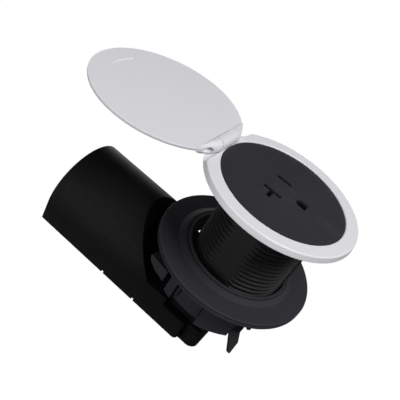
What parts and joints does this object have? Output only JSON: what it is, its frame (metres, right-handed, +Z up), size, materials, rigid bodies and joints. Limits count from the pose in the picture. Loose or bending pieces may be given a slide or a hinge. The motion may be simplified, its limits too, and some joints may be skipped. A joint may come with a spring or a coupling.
{
  "type": "flip-lid desk grommet power outlet",
  "caption": "Round through-desk power outlet with a hinged flip lid, a ribbed barrel, a sliding clamp flange with pinch levers, and an under-desk wiring housing.",
  "frame": {"origin": "on the barrel's axis, at the desk top, which the bezel's underside rests on", "axes": "+Z up out of the desk along the barrel; +X away from the lid's hinge; the lid and the wiring housing reach towards -X; +Y completes a right-handed set"},
  "size_m": [0.1374, 0.0748, 0.087],
  "materials": {
    "white_plastic": "satin white moulded plastic",
    "face_plastic": "fine matte black moulded plastic",
    "black_plastic": "satin black moulded plastic",
    "inner_plastic": "dark grey moulded plastic",
    "block_plastic": "off-white moulded plastic",
    "steel": "zinc-plated steel",
    "spring_steel": "bare spring steel",
    "brass": "stamped brass",
    "rubber": "soft black rubber",
    "wire_black": "black wire insulation",
    "wire_white": "white wire insulation",
    "wire_green": "green wire insulation"
  },
  "bodies": {
    "outlet": {"bezel_ring": "white_plastic", "hinge_pin": "steel", "bezel_screws": "steel", "face_plate": "face_plastic", "receptacle_body": "inner_plastic", "receptacle_rear_cover": "inner_plastic", "rear_cover_screws": "steel", "line_contact": "brass", "neutral_contact": "brass", "ground_contact": "brass", "ribbed_barrel": "black_plastic", "barrel_foot_screws": "steel", "housing_shell": "black_plastic", "housing_base": "black_plastic", "housing_base_screws": "steel", "cable_inlet_grommet": "rubber", "terminal_block": "block_plastic", "terminal_clamp_screws": "steel", "terminal_block_screws": "steel", "line_wire": "wire_black", "neutral_wire": "wire_white", "ground_wire": "wire_green"},
    "lid": {"lid": "white_plastic"},
    "clamp": {"clamp_ring": "black_plastic", "lever_pivot_pins": "steel", "lever_spring_front": "spring_steel", "lever_spring_rear": "spring_steel"},
    "lever_front": {"release_lever_front": "black_plastic"},
    "lever_rear": {"release_lever_rear": "black_plastic"}
  },
  "joints": [
    {"name": "lid_hinge", "type": "hinge", "parent": "outlet", "child": "lid", "pos_m": [-0.03435, 0, 0.0034], "axis": [0, 1, 0], "range_deg": [0, 181.6]},
    {"name": "clamp_slide", "type": "slide", "parent": "outlet", "child": "clamp", "axis": [0, 0, 1], "range_m": [-0.008, 0.028]},
    {"name": "lever_front_pinch", "type": "hinge", "parent": "clamp", "child": "lever_front", "pos_m": [0.01885, -0.02308, -0.0456], "axis": [0.7396, 0.673, 0], "range_deg": [0, 7], "stiffness_Nm_per_rad": 0.4, "springref_deg": -5.73, "deforming": ["lever_spring_front"]},
    {"name": "lever_rear_pinch", "type": "hinge", "parent": "clamp", "child": "lever_rear", "pos_m": [0.01885, 0.02308, -0.0456], "axis": [-0.7396, 0.673, 0], "range_deg": [0, 7], "stiffness_Nm_per_rad": 0.4, "springref_deg": -5.73, "deforming": ["lever_spring_rear"]}
  ]
}
